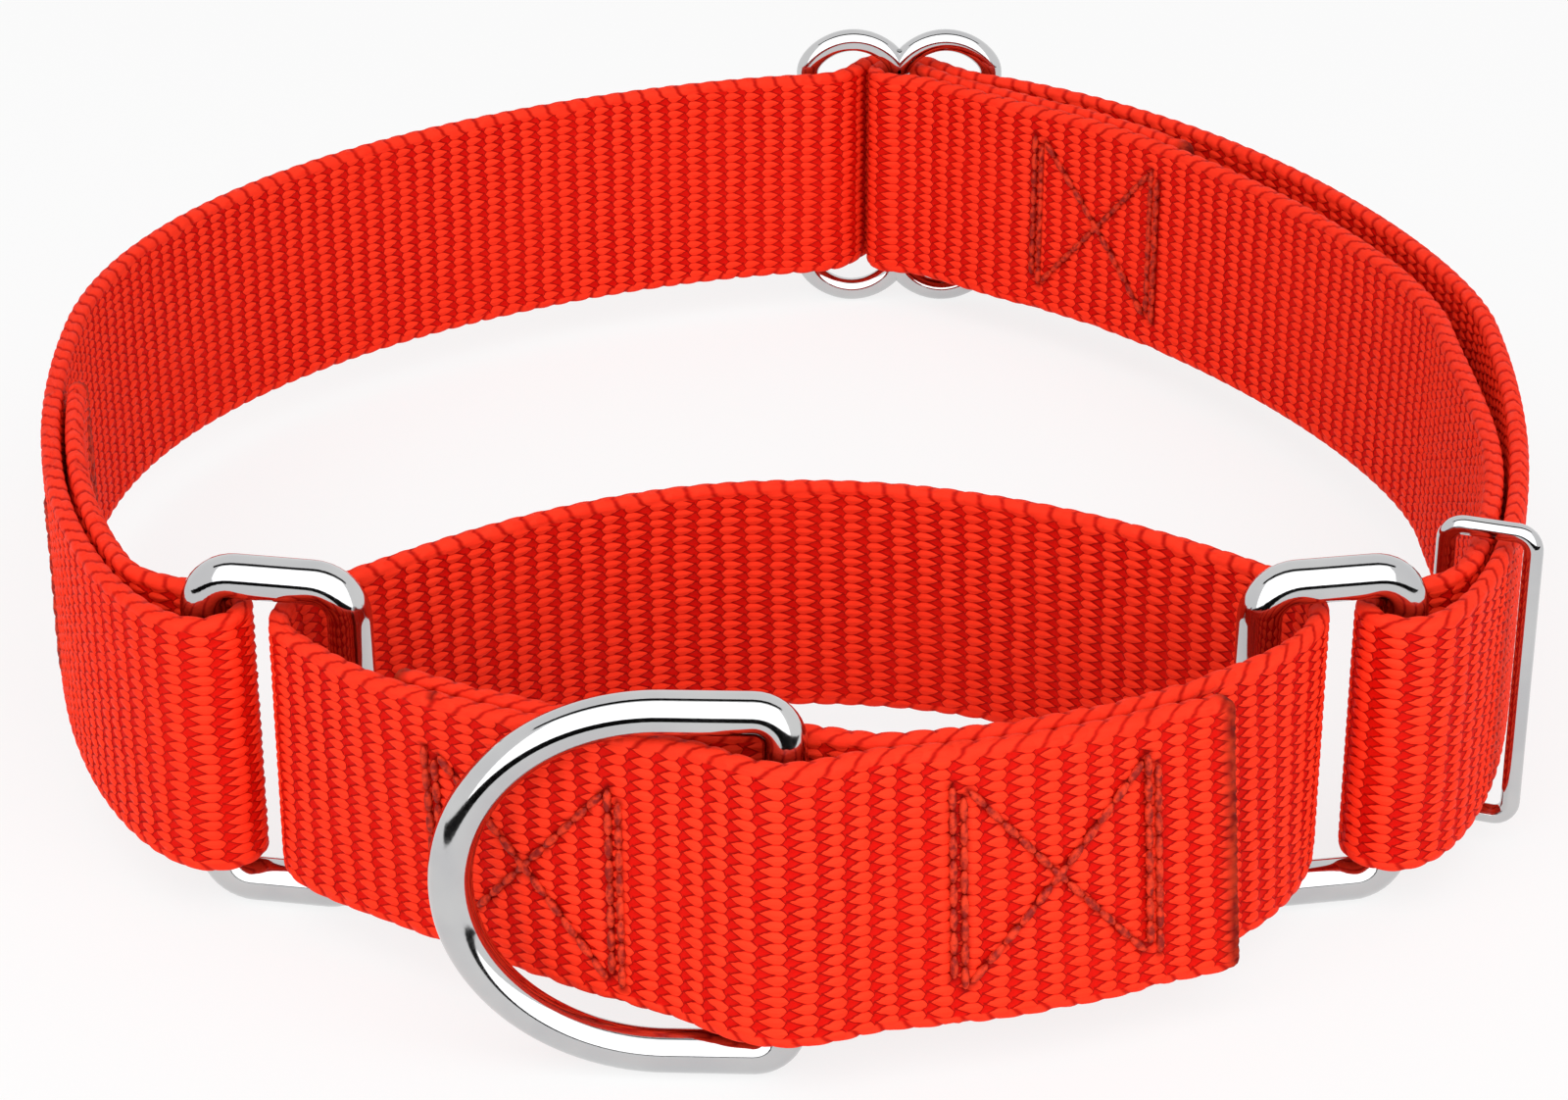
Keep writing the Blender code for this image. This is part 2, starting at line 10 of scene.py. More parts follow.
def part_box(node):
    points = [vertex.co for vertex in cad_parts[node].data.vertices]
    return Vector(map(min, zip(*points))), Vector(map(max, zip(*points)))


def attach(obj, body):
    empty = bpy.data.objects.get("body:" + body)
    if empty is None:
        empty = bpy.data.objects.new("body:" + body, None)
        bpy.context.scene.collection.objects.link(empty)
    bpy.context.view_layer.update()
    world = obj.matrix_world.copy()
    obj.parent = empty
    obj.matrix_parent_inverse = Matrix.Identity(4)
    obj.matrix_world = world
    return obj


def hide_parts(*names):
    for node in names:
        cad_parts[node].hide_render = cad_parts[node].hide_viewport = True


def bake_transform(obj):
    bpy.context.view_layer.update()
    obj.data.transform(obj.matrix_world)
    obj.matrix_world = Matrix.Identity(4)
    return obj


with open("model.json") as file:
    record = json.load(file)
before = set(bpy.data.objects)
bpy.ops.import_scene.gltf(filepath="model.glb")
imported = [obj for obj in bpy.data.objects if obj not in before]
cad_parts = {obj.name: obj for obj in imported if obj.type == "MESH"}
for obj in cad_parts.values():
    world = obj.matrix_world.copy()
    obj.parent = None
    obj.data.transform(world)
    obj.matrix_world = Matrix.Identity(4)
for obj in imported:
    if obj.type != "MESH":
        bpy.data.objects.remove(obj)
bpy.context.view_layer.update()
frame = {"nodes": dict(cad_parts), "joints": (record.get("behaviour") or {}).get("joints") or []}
mm = 0.001
up = Vector((0, 0, 1))
jointPlace = {j["name"]: Vector(j["pos_m"]) for j in frame["joints"] if j.get("pos_m")}
jointAxis = {j["name"]: Vector(j["axis"]) for j in frame["joints"]}


# Camera at the photograph's angle: 90 mm lens, looking down on the front
view = {
    "place": (0.3 * mm, -362.85 * mm, 186.1 * mm),
    "pitch": math.radians(26.3),
    "lens": 90.0,
    "sensor": 36.0,
}


def makeCamera():
    data = bpy.data.cameras.new("camera")
    data.lens = view["lens"]
    data.sensor_width = view["sensor"]
    camera = bpy.data.objects.new("camera", data)
    camera.location = view["place"]
    camera.rotation_euler = (math.pi / 2 - view["pitch"], 0, 0)
    bpy.context.scene.collection.objects.link(camera)
    bpy.context.scene.camera = camera


# Node helpers for the materials
def newMaterial(name):
    made = bpy.data.materials.new(name)
    made.use_nodes = True
    tree = made.node_tree
    return made, tree, tree.nodes["Principled BSDF"]


def feed(tree, socket, value):
    if isinstance(value, bpy.types.NodeSocket):
        tree.links.new(value, socket)
    else:
        socket.default_value = value


def maths(tree, operation, *values, clamp=False):
    node = tree.nodes.new("ShaderNodeMath")
    node.operation = operation
    node.use_clamp = clamp
    for socket, value in zip(node.inputs, values):
        feed(tree, socket, value)
    return node.outputs[0]


def remap(tree, value, low, high, newLow=0.0, newHigh=1.0):
    node = tree.nodes.new("ShaderNodeMapRange")
    node.interpolation_type = "SMOOTHSTEP"
    for socket, number in zip(node.inputs, (value, low, high, newLow, newHigh)):
        feed(tree, socket, number)
    return node.outputs[0]


def mixColour(tree, share, first, second, kind="MIX"):
    node = tree.nodes.new("ShaderNodeMix")
    node.data_type = "RGBA"
    node.blend_type = kind
    feed(tree, node.inputs["Factor"], share)
    feed(tree, node.inputs["A"], first)
    feed(tree, node.inputs["B"], second)
    return node.outputs["Result"]


def noise(tree, vector, scale, detail=3.0, rough=0.5):
    node = tree.nodes.new("ShaderNodeTexNoise")
    feed(tree, node.inputs["Vector"], vector)
    node.inputs["Scale"].default_value = scale
    node.inputs["Detail"].default_value = detail
    node.inputs["Roughness"].default_value = rough
    return node.outputs["Fac"]


def objectPlace(tree):
    return tree.nodes.new("ShaderNodeTexCoord").outputs["Object"]


def bump(tree, shader, height, strength, distance):
    node = tree.nodes.new("ShaderNodeBump")
    node.inputs["Strength"].default_value = strength
    node.inputs["Distance"].default_value = distance
    tree.links.new(height, node.inputs["Height"])
    tree.links.new(node.outputs["Normal"], shader.inputs["Normal"])


# Webbing: grains of yarn stand in columns, blunt on the left and pointed on the right
webbing = {
    "width": 25.4 * mm,
    "column": 2.36 * mm,
    "rows": 26,
    "rowDrift": 0.17,
    "pointsPerRow": 4,
    "edgePoints": 5,
    "step": 0.42 * mm,
    "half": 0.72 * mm,
    "grainRise": 0.26 * mm,
    "bluntStart": 0.04,
    "bluntEnd": 0.30,
    "pointStart": 0.42,
    "pointEnd": 0.90,
    "bluntness": 2.4,
    "sharpness": 1.4,
    "thinnest": 0.001,
    "grainFullness": 1.6,
    "backShift": 0.25,
    "alongSway": ((0.045, 2.3, 1.7), (0.03, 0.6, -0.9)),
    "acrossSway": (0.06, 1.3, 0.5),
    "edgeFade": 0.8,
    "edgeRise": 0.8,
    "edgeRound": 0.7 * mm,
    "scallop": 0.30 * mm,
    "knotSlant": 0.35,
    "cutRound": 0.5 * mm,
    "cutCorner": 1.3 * mm,
    "cutSteps": (0.04 * mm, 0.13 * mm, 0.27 * mm),
    "sealed": 1.25 * mm,
    "sealFade": 1.6,
}
rowHeight = webbing["width"] / webbing["rows"]
edgeRow = (webbing["width"] / 2 - webbing["edgeRound"]) / rowHeight


def webbingMaterial():
    w = webbing
    made, tree, shader = newMaterial("redWebbing")
    attribute = tree.nodes.new("ShaderNodeAttribute")
    attribute.attribute_name = "weave"
    split = tree.nodes.new("ShaderNodeSeparateXYZ")
    tree.links.new(attribute.outputs["Vector"], split.inputs[0])
    along, across, mark = split.outputs
    # The third value is the scorched seal of the cut ends where positive, and painted shade round
    # the needle holes where negative
    sealed = maths(tree, "MULTIPLY", mark, 1.0, clamp=True)
    pierced = maths(tree, "MULTIPLY", mark, -1.0, clamp=True)

    # Share of a column and of a row
    column = maths(tree, "FLOOR", along)
    share = maths(tree, "FRACT", along)
    drifted = maths(tree, "ADD", across, maths(tree, "MULTIPLY", column, w["rowDrift"]))
    row = maths(tree, "FLOOR", drifted)
    fromRow = maths(tree, "SUBTRACT", maths(tree, "FRACT", drifted), 0.5)
    off = maths(tree, "MULTIPLY", maths(tree, "ABSOLUTE", fromRow), 2.0)
    blunt = maths(
        tree,
        "DIVIDE",
        maths(tree, "SUBTRACT", w["bluntEnd"], share),
        w["bluntEnd"] - w["bluntStart"],
        clamp=True,
    )
    point = maths(
        tree,
        "DIVIDE",
        maths(tree, "SUBTRACT", share, w["pointStart"]),
        w["pointEnd"] - w["pointStart"],
        clamp=True,
    )
    width = maths(
        tree,
        "MULTIPLY",
        maths(tree, "SUBTRACT", 1.0, maths(tree, "POWER", blunt, w["bluntness"])),
        maths(tree, "SUBTRACT", 1.0, maths(tree, "POWER", point, w["sharpness"])),
    )
    widthShare = maths(tree, "DIVIDE", off, maths(tree, "MAXIMUM", width, w["thinnest"]))
    fill = maths(tree, "SUBTRACT", 1.0, widthShare, clamp=True)
    outside = maths(tree, "SUBTRACT", off, width)

    # Knots along both woven edges
    fromMiddle = maths(tree, "ABSOLUTE", maths(tree, "SUBTRACT", across, w["rows"] / 2))
    onEdge = remap(tree, fromMiddle, edgeRow - 0.5, edgeRow - 0.3)
    knotPlace = maths(tree, "ADD", along, maths(tree, "MULTIPLY", fromMiddle, w["knotSlant"]))
    knotOff = maths(tree, "ABSOLUTE", maths(tree, "SUBTRACT", maths(tree, "FRACT", knotPlace), 0.5))
    knot = remap(tree, knotOff, 0.5, 0.30)

    # Filaments run along each grain, and grains differ a little
    streakPlace = tree.nodes.new("ShaderNodeCombineXYZ")
    tree.links.new(maths(tree, "MULTIPLY", along, 1.6), streakPlace.inputs[0])
    tree.links.new(maths(tree, "MULTIPLY", across, 13.0), streakPlace.inputs[1])
    streak = noise(tree, streakPlace.outputs[0], 1.0, 2.0)
    grainPlace = tree.nodes.new("ShaderNodeCombineXYZ")
    tree.links.new(column, grainPlace.inputs[0])
    tree.links.new(row, grainPlace.inputs[1])
    chance = tree.nodes.new("ShaderNodeTexWhiteNoise")
    chance.noise_dimensions = "2D"
    tree.links.new(grainPlace.outputs[0], chance.inputs["Vector"])
    place = objectPlace(tree)
    patches = noise(tree, place, 60.0, 4.0, 0.6)
    speck = noise(tree, place, 900.0, 2.0)

    # Painted shade in the weave's hollows: darkest in the crevice round each grain, dark red in the
    # sunken bands between columns and along the lines where rows of grains meet
    creviceShade = (0.26, 0.001, 0.0005, 1)
    bandShade = (0.66, 0.004, 0.001, 1)
    rowLineShade = (0.72, 0.012, 0.003, 1)
    grain = (1.0, 0.045, 0.014, 1)
    deepShade = mixColour(tree, remap(tree, outside, 0.02, 0.45), creviceShade, bandShade)
    colour = mixColour(tree, remap(tree, outside, -0.02, 0.04), rowLineShade, deepShade)
    colour = mixColour(tree, remap(tree, fill, 0.02, 0.20), colour, grain)
    # Painted shade in the gaps between the edge knots
    knotColourWithShade = mixColour(tree, knot, (0.45, 0.004, 0.001, 1), (0.95, 0.040, 0.014, 1))
    colour = mixColour(tree, onEdge, colour, knotColourWithShade)
    varied = maths(tree, "MULTIPLY", maths(tree, "MULTIPLY", chance.outputs["Value"], fill), 0.35)
    colour = mixColour(tree, varied, colour, (0.90, 0.022, 0.006, 1))
    streaked = maths(tree, "MULTIPLY", remap(tree, streak, 0.3, 0.6, 0.35, 0.0), fill)
    colour = mixColour(tree, streaked, colour, (0.85, 0.018, 0.005, 1))
    worn = remap(tree, patches, 0.35, 0.7, 0.0, 0.2)
    colour = mixColour(tree, worn, colour, (0.86, 0.018, 0.005, 1))
    charred = (0.15, 0.004, 0.002, 1)
    singed = (0.40, 0.026, 0.008, 1)
    scorched = mixColour(tree, remap(tree, speck, 0.35, 0.65), charred, singed)
    # Painted shade in the needle holes
    colour = mixColour(tree, pierced, colour, (0.17, 0.001, 0.0005, 1))
    colour = mixColour(tree, sealed, colour, scorched)
    tree.links.new(colour, shader.inputs["Base Color"])
    rough = remap(tree, speck, 0.3, 0.7, 0.50, 0.68)
    tree.links.new(rough, shader.inputs["Roughness"])
    shader.inputs["Specular IOR Level"].default_value = 0.06
    shader.inputs["Sheen Weight"].default_value = 0.03
    shader.inputs["Sheen Roughness"].default_value = 0.4
    shader.inputs["Sheen Tint"].default_value = (1.0, 0.18, 0.10, 1)
    filaments = maths(tree, "MULTIPLY", streak, 0.55)
    yarn = maths(tree, "ADD", filaments, maths(tree, "MULTIPLY", fill, 0.8))
    bump(tree, shader, yarn, 0.55, 0.12 * mm)
    return made


# Middle line of a CAD strap, read from the rims of its solid
def rim(node, level):
    mesh = frame["nodes"][node].data
    co = np.array([v.co for v in mesh.vertices])
    key = {}
    same = [key.setdefault(tuple(np.round(p * 1e6).astype(int)), len(key)) for p in co]
    places = np.zeros((len(key), 3))
    for i, p in zip(same, co):
        places[i] = p
    used = {}
    for face in mesh.polygons:
        corners = [same[i] for i in face.vertices]
        if all(abs(places[i][2] - level) < 1e-6 for i in corners):
            for a, b in zip(corners, corners[1:] + corners[:1]):
                used[frozenset((a, b))] = used.get(frozenset((a, b)), 0) + 1
    links = {}
    for edge, count in used.items():
        if count == 1:
            a, b = edge
            links.setdefault(a, []).append(b)
            links.setdefault(b, []).append(a)
    first = next(iter(links))
    loop, last = [first], None
    while True:
        ahead = [i for i in links[loop[-1]] if i != last]
        last = loop[-1]
        if ahead[0] == first:
            break
        loop.append(ahead[0])
    return places[loop][:, :2]


def middleOf(loop):
    ahead = np.roll(loop, -1, 0) - loop
    behind = loop - np.roll(loop, 1, 0)
    cross = behind[:, 0] * ahead[:, 1] - behind[:, 1] * ahead[:, 0]
    turn = np.abs(np.arctan2(cross, (behind * ahead).sum(1)))
    corners = sorted(np.argsort(turn)[-4:])
    gaps = [(corners[(i + 1) % 4] - corners[i]) % len(loop) for i in range(4)]
    start = corners[(int(np.argmin(gaps)) + 1) % 4]
    loop = np.roll(loop, -start, 0)
    half = sorted((c - start) % len(loop) for c in corners)[1]
    return acrossFrom(loop[: half + 1], loop[half + 1 :][::-1])


# How closely the two sides of a strap are followed together
pace = {"fine": 0.05 * mm, "back": 0.3 * mm, "stretch": 3.5, "slack": 0.5 * mm}


# Halfway from each point of one side to the other side, keeping pace along both
def acrossFrom(side, other):
    fine = []
    for a, b in zip(other, other[1:]):
        steps = max(1, int(np.linalg.norm(b - a) / pace["fine"]))
        fine += [a + (b - a) * i / steps for i in range(steps)]
    fine = np.array(fine + [other[-1]])
    run = np.concatenate([[0], np.cumsum(np.linalg.norm(np.diff(fine, axis=0), axis=1))])
    middle, reached, last = [], 0.0, side[0]
    for point in side:
        step = np.linalg.norm(point - last)
        farthest = reached + pace["stretch"] * step + pace["slack"]
        near = np.flatnonzero((run >= reached - pace["back"]) & (run <= farthest))
        found = near[np.argmin(np.linalg.norm(fine[near] - point, axis=1))]
        middle.append((point + fine[found]) / 2)
        reached, last = run[found], point
    return np.array(middle)


def strapLine(node):
    low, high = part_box(node)
    top, bottom = (middleOf(rim(node, level)) for level in (high.z, low.z))
    if np.linalg.norm(top[0] - bottom[0]) > np.linalg.norm(top[0] - bottom[-1]):
        bottom = bottom[::-1]
    return np.hstack([top, evenly(bottom, top)])


# Points of a line at another line's shares of length
def evenly(line, pattern):
    shares = []
    for points in (line, pattern):
        run = np.concatenate([[0], np.cumsum(np.linalg.norm(np.diff(points, axis=0), axis=1))])
        shares.append(run / run[-1])
    return np.column_stack([np.interp(shares[1], shares[0], line[:, i]) for i in (0, 1)])


def chain(*lines):
    whole = lines[0]
    for line in lines[1:]:
        pairs = [(i, j) for i in (0, -1) for j in (0, -1)]
        nearest = min((np.linalg.norm(whole[i][:2] - line[j][:2]), i, j) for i, j in pairs)
        if nearest[1] == 0:
            whole = whole[::-1]
        whole = np.vstack([whole, line if nearest[2] == 0 else line[::-1]])
    return whole


class Strap:
    # A smooth line through the CAD points: top and bottom edges by length run
    def __init__(self, points):
        self.points = points
        middle = (points[:, :2] + points[:, 2:]) / 2
        gap = np.linalg.norm(np.diff(middle, axis=0), axis=1)
        self.run = np.concatenate([[0], np.cumsum(gap)])
        self.length = self.run[-1]
        slope = np.diff(points, axis=0) / gap[:, None]
        weighted = slope[:-1] * gap[1:, None] + slope[1:] * gap[:-1, None]
        inner = weighted / (gap[1:] + gap[:-1])[:, None]
        self.slope = np.vstack([slope[:1], inner, slope[-1:]])

    def at(self, run):
        run = np.clip(run, 0, self.length)
        i = np.clip(np.searchsorted(self.run, run, side="right") - 1, 0, len(self.run) - 2)
        gap = self.run[i + 1] - self.run[i]
        t = ((run - self.run[i]) / gap)[:, None]
        gap = gap[:, None]
        place = (2 * t**3 - 3 * t**2 + 1) * self.points[i]
        place = place + (t**3 - 2 * t**2 + t) * gap * self.slope[i]
        place = place + (3 * t**2 - 2 * t**3) * self.points[i + 1]
        return place + (t**3 - t**2) * gap * self.slope[i + 1]

    def frame(self, run):
        reach = 0.2 * mm
        place = self.at(run)
        ahead = self.at(run + reach) - self.at(run - reach)
        way = ahead[:, :2] + ahead[:, 2:]
        way /= np.linalg.norm(way, axis=1)[:, None]
        return place, np.stack([-way[:, 1], way[:, 0]], 1)

    def nearest(self, x, y):
        runs = np.arange(0, self.length, 0.1 * mm)
        place = self.at(runs)
        middle = (place[:, :2] + place[:, 2:]) / 2
        return runs[np.argmin(np.linalg.norm(middle - (x, y), axis=1))]

    # Places on the strap: run along it, height from its middle, distance out to its left
    def places(self, run, height, out):
        place, side = self.frame(run)
        share = (height / webbing["width"] + 0.5)[:, None]
        flat = place[:, 2:] * (1 - share) + place[:, :2] * share + side * out[:, None]
        return np.column_stack([flat, height + strapMiddle])


def grainHeight(along, across):
    w = webbing
    column = np.floor(along)
    share = along - column
    drifted = across + column * w["rowDrift"]
    off = np.abs(drifted - np.floor(drifted) - 0.5) * 2
    blunt = np.clip((w["bluntEnd"] - share) / (w["bluntEnd"] - w["bluntStart"]), 0, 1)
    point = np.clip((share - w["pointStart"]) / (w["pointEnd"] - w["pointStart"]), 0, 1)
    width = (1 - blunt ** w["bluntness"]) * (1 - point ** w["sharpness"])
    width = np.maximum(width, w["thinnest"])
    dome = np.sqrt(np.clip(1 - (off / width) ** 2, 0, 1))
    return dome * np.sqrt(np.clip(width * w["grainFullness"], 0, 1))


# How far each stitch of a seam draws the webbing in, and the painted shade round its needle holes
def drawnIn(run, height, facing, stitches):
    dent, hole = np.zeros_like(run), np.zeros_like(run)
    for start, end, outward in stitches:
        close = np.abs(run - (start[0] + end[0]) / 2) < seam["reach"]
        near = np.flatnonzero(close & (facing * outward > 0))
        if not len(near):
            continue
        spot = np.column_stack([run[near], height[near]])
        way = end - start
        share = np.clip((spot - start) @ way / (way @ way), 0, 1)
        gap = np.linalg.norm(spot - start - share[:, None] * way, axis=1)
        pressed = seam["dent"] * np.exp(-((gap / seam["dentReach"]) ** 2))
        dent[near] = np.maximum(dent[near], pressed)
        for pierced in (start, end):
            far = np.linalg.norm(spot - pierced, axis=1)
            hole[near] = np.maximum(hole[near], np.exp(-((far / seam["hole"]) ** 2)))
    return dent, hole


# A slow wave over the weave
def sway(wave, first, second):
    size, firstRate, secondRate = wave
    return size * np.sin(firstRate * first + secondRate * second)


def makeStrap(name, strap, start, end, stitches=(), cutStart=False, cutEnd=False):
    w = webbing
    runs = np.linspace(start, end, int(round((end - start) / w["step"])) + 1)
    extra = np.array(w["cutSteps"])
    if cutStart:
        runs = np.sort(np.concatenate([runs, start + extra]))
    if cutEnd:
        runs = np.sort(np.concatenate([runs, end - extra]))
    facePoints = w["rows"] * w["pointsPerRow"]
    around = 2 * facePoints + 2 * (w["edgePoints"] + 1)
    bm = bmesh.new()
    bmesh.ops.create_grid(bm, x_segments=around, y_segments=len(runs) - 1, size=1.0)
    grid = np.array([v.co[:2] for v in bm.verts])
    spot = np.round((grid[:, 0] + 1) / 2 * around).astype(int) % around
    row = np.round((grid[:, 1] + 1) / 2 * (len(runs) - 1)).astype(int)
    run = runs[row]

    # Round the section: left face upwards, top edge, right face downwards, bottom edge
    turn = spot.astype(float)
    flat = w["width"] / 2 - w["edgeRound"]
    quarterSpots = w["edgePoints"] + 1
    onLeft = spot <= facePoints
    onRight = (spot >= facePoints + quarterSpots) & (spot <= 2 * facePoints + quarterSpots)
    onTop = (spot > facePoints) & (spot < facePoints + quarterSpots)
    height = np.where(onLeft, -flat + 2 * flat * turn / facePoints, 0.0)
    downRight = flat - 2 * flat * (turn - facePoints - quarterSpots) / facePoints
    height = np.where(onRight, downRight, height)
    edgeSpot = np.where(onTop, turn - facePoints, turn - 2 * facePoints - quarterSpots)
    edgeTurn = edgeSpot / quarterSpots * math.pi
    onEdge = ~(onLeft | onRight)
    side = np.where(onLeft, 1.0, -1.0)
    side = np.where(onEdge, np.cos(edgeTurn) * np.where(onTop, 1, -1), side)

    along = run / w["column"] + w["backShift"] * (1 - side)
    across = height / rowHeight + w["rows"] / 2
    edgeAcross = w["rows"] / 2 + np.where(onTop, 1, -1) * (edgeRow + 1 - np.abs(side))
    across = np.where(onEdge, edgeAcross, across)
    # No two grains are quite alike
    quick, slow = w["alongSway"]
    along += sway(quick, across, along) + sway(slow, across, along)
    across = across + np.where(onEdge, 0, sway(w["acrossSway"], along, across))
    rise = np.where(onEdge, 0.0, grainHeight(along, across))
    out = side * (w["half"] + w["grainRise"] * rise)
    fromMiddle = np.abs(across - w["rows"] / 2)
    knotShare = along + fromMiddle * w["knotSlant"]
    knotOff = np.abs(knotShare - np.floor(knotShare) - 0.5) * 2
    knots = np.sqrt(np.clip(1 - knotOff**2, 0, 1))
    edge = w["edgeRound"] - w["scallop"] + w["scallop"] * knots
    lift = np.sqrt(np.clip(1 - side**2, 0, 1)) * edge
    nearEdge = np.clip((fromMiddle - edgeRow + w["edgeFade"]) / w["edgeFade"], 0, 1)
    knotRise = w["edgeRise"] * knots - rise
    out += np.where(onEdge, 0.0, side * w["grainRise"] * nearEdge * knotRise)
    out += np.where(onEdge, side * w["edgeRise"] * w["grainRise"] * knots, 0.0)
    dent, hole = drawnIn(run, height, side, stitches)
    out -= np.sign(side) * dent
    height = np.where(onEdge, np.where(onTop, flat + lift, -flat - lift), height)

    # Painted shade round the needle holes; cut ends are rounded over and sealed, and their scorched
    # seal replaces that shade
    sealAndHoleShade = -seam["holeShadeAmount"] * hole
    for cut, distance in ((cutStart, run - start), (cutEnd, end - run)):
        if cut:
            near = np.clip(distance / w["cutRound"], 0, 1)
            out *= np.sqrt(1 - (1 - near) ** 2)
            corner = np.clip(distance / w["cutCorner"], 0, 1)
            height *= 1 - w["cutCorner"] * (1 - np.sqrt(1 - (1 - corner) ** 2)) * 2 / w["width"]
            burnt = np.clip(w["sealFade"] - distance / w["sealed"], 0, 1)
            sealAndHoleShade = np.where(burnt > 0, burnt, sealAndHoleShade)

    places = strap.places(run, height, out)
    layer = bm.verts.layers.float_vector.new("weave")
    for vert, place, mark in zip(bm.verts, places, np.column_stack([along, across, sealAndHoleShade])):
        vert.co = place
        vert[layer] = mark
    bmesh.ops.remove_doubles(bm, verts=bm.verts, dist=1e-7)
    for face in bm.faces:
        face.smooth = True
    rims = [e for e in bm.edges if e.is_boundary]
    capped = bmesh.ops.holes_fill(bm, edges=rims, sides=0)["faces"] if rims else []
    for face in capped:
        face.smooth = False
        for e in face.edges:
            e.smooth = False
    bmesh.ops.recalc_face_normals(bm, faces=bm.faces)
    return finishPiece(name, bm, redWebbing)


def finishPiece(name, bm, material):
    mesh = bpy.data.meshes.new(name)
    bm.to_mesh(mesh)
    bm.free()
    mesh.materials.append(material)
    piece = bpy.data.objects.new(name, mesh)
    bpy.context.scene.collection.objects.link(piece)
    return piece


# Hardware: round wire swept along each piece's own line
def nickelMaterial():
    made, tree, shader = newMaterial("nickelPlate")
    place = objectPlace(tree)
    cloud = noise(tree, place, 140.0, 3.0)
    fine = noise(tree, place, 2600.0, 2.0)
    dull = (0.52, 0.52, 0.53, 1)
    bright = (0.58, 0.58, 0.58, 1)
    colour = mixColour(tree, remap(tree, cloud, 0.3, 0.7), dull, bright)
    tree.links.new(colour, shader.inputs["Base Color"])
    shader.inputs["Metallic"].default_value = 1.0
    cloudRough = remap(tree, cloud, 0.3, 0.75, 0.05, 0.10)
    rough = maths(tree, "ADD", cloudRough, remap(tree, fine, 0.4, 0.8, 0.0, 0.04))
    tree.links.new(rough, shader.inputs["Roughness"])
    uneven = maths(tree, "ADD", cloud, maths(tree, "MULTIPLY", fine, 0.3))
    bump(tree, shader, uneven, 0.12, 0.02 * mm)
    return made


def sweepWire(name, line, thickness, flatSide, closed=True, sides=20):
    count = len(line)
    frames = []
    for i, point in enumerate(line):
        if closed:
            way = (line[(i + 1) % count] - line[i - 1]).normalized()
        else:
            way = (line[min(i + 1, count - 1)] - line[max(i - 1, 0)]).normalized()
        over = flatSide.cross(way).normalized()
        turned = Matrix((flatSide, over, way)).transposed().to_4x4()
        frames.append(Matrix.Translation(point) @ turned)
    bm = bmesh.new()
    ring = bmesh.ops.create_circle(bm, segments=sides, radius=thickness / 2)["verts"]
    bmesh.ops.transform(bm, matrix=frames[0], verts=ring)
    first = list({e for v in ring for e in v.link_edges})
    edges = first
    steps = frames[1:] + ([frames[0]] if closed else [])
    for before, after in zip(frames, steps):
        made = bmesh.ops.extrude_edge_only(bm, edges=edges)["geom"]
        ring = [g for g in made if isinstance(g, bmesh.types.BMVert)]
        edges = [g for g in made if isinstance(g, bmesh.types.BMEdge)]
        bmesh.ops.transform(bm, matrix=after @ before.inverted(), verts=ring)
    if closed:
        bmesh.ops.remove_doubles(bm, verts=bm.verts, dist=1e-6)
    else:
        domeEnd(bm, edges, thickness)
        domeEnd(bm, [e for e in bm.edges if e.is_boundary], thickness)
    for face in bm.faces:
        face.smooth = True
    bmesh.ops.recalc_face_normals(bm, faces=bm.faces)
    return finishPiece(name, bm, nickelPlate)


# Shares of the wire's thickness
dome = {"inset": 0.2, "rise": 0.12}


def domeEnd(bm, edges, thickness):
    cap = bmesh.ops.edgeloop_fill(bm, edges=edges)["faces"]
    inset, rise = thickness * dome["inset"], thickness * dome["rise"]
    bmesh.ops.inset_region(bm, faces=cap, thickness=inset, depth=rise)


def arcPoints(centre, radius, start, end, steps):
    turn = (end - start) / steps
    angles = [start + turn * i for i in range(steps + 1)]
    return [centre + Vector((math.cos(a), math.sin(a))) * radius for a in angles]


def roundedFrame(width, height, corner, steps=10, straight=6):
    outline = []
    for turn, (side, end) in enumerate(((1, 1), (-1, 1), (-1, -1), (1, -1))):
        centre = Vector((side * (width / 2 - corner), end * (height / 2 - corner)))
        outline += arcPoints(centre, corner, turn * math.pi / 2, (turn + 1) * math.pi / 2, steps)
    filled = []
    for a, b in zip(outline, outline[1:] + outline[:1]):
        count = straight if (b - a).length > 2 * mm else 1
        filled += [a.lerp(b, i / count) for i in range(count)]
    return filled


def standing(centre, way, outline, rise=up):
    return [centre + way * point.x + rise * point.y for point in outline]


ring = {"wire": 4.0 * mm, "corner": 3.2 * mm}


def makeRing(side):
    node = side + "_ring"
    low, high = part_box(node)
    centre = (low + high) / 2
    bar = jointPlace[side + "_ring_swivel"]
    way = Vector((centre.x - bar.x, centre.y - bar.y, 0))
    outline = roundedFrame(2 * way.length, high.z - low.z - ring["wire"], ring["corner"])
    way.normalize()
    piece = sweepWire(side + "Ring", standing(centre, way, outline), ring["wire"], up.cross(way))
    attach(piece, node)
    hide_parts(node)


dRing = {"wire": 3.8 * mm, "corner": 2.6 * mm, "straight": 10.0 * mm, "bowSteps": 72}


